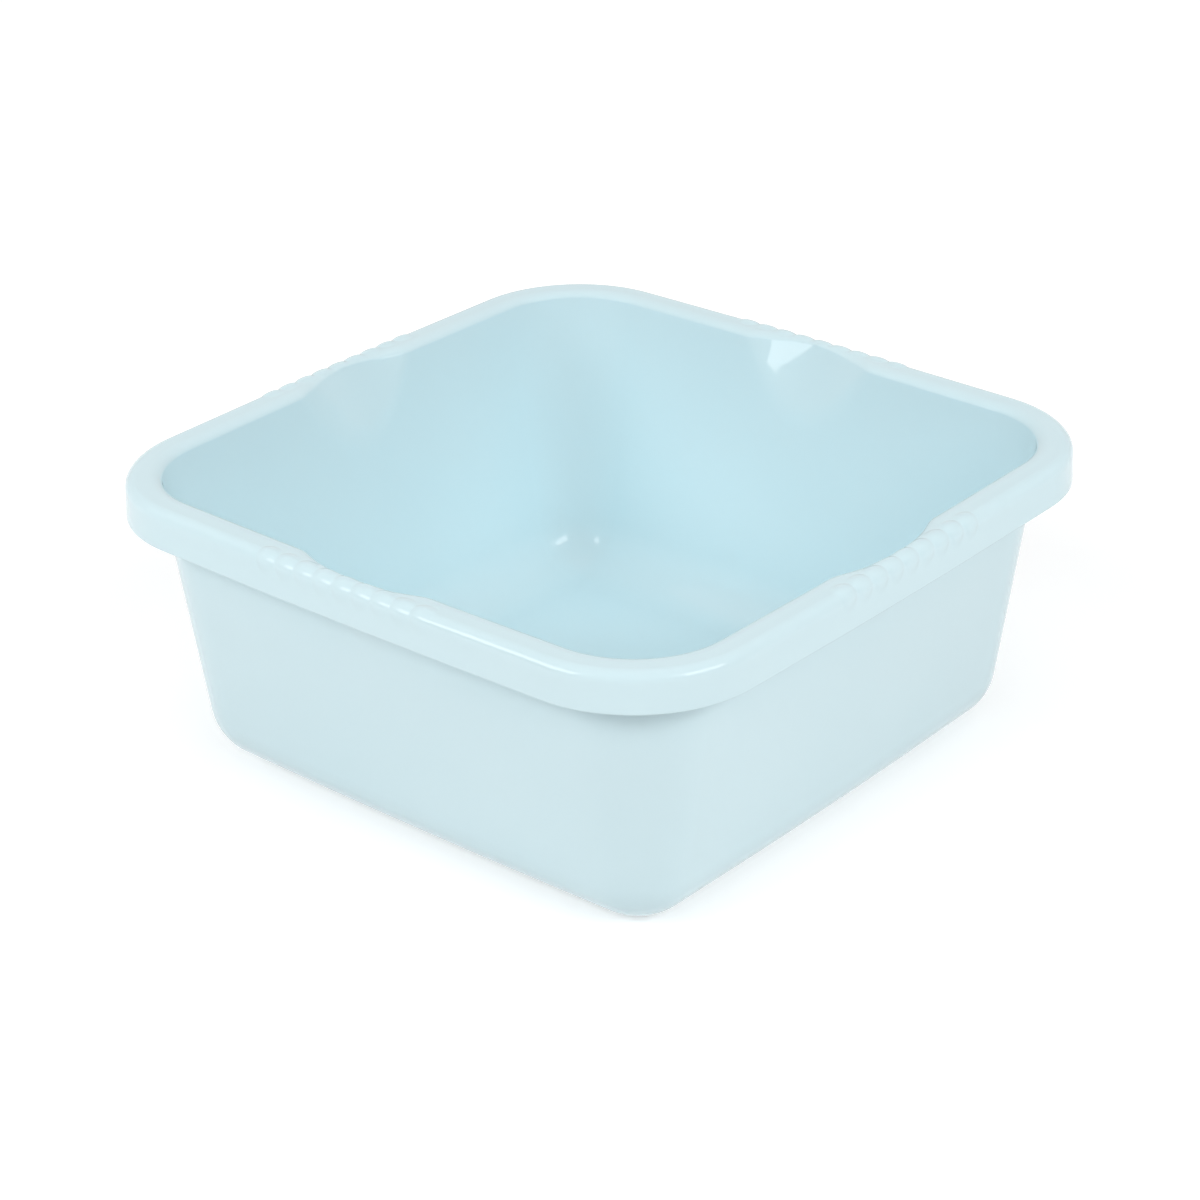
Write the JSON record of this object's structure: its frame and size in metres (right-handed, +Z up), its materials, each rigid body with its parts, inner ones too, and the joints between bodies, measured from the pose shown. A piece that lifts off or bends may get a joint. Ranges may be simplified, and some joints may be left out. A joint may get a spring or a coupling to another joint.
{
  "type": "square basin",
  "caption": "Square open-topped basin with tapered walls, round corners and a rolled rim, lifted by scooped, ribbed finger grips in the middle of its sides; holds water for washing.",
  "frame": {"origin": "centre of the surface that the basin stands on, under its middle", "axes": "+Z up out of the open top; the four sides with their grips face -Y, +X, +Y and -X"},
  "size_m": [0.3202, 0.3202, 0.1367],
  "materials": {
    "pale_blue_plastic": "satin"
  },
  "bodies": {
    "root": {"bowl": "pale_blue_plastic", "foot_ring": "pale_blue_plastic", "grip_front": "pale_blue_plastic", "grip_right": "pale_blue_plastic", "grip_back": "pale_blue_plastic", "grip_left": "pale_blue_plastic", "rim_corner_front_right": "pale_blue_plastic", "rim_corner_back_right": "pale_blue_plastic", "rim_corner_back_left": "pale_blue_plastic", "rim_corner_front_left": "pale_blue_plastic"}
  },
  "joints": []
}
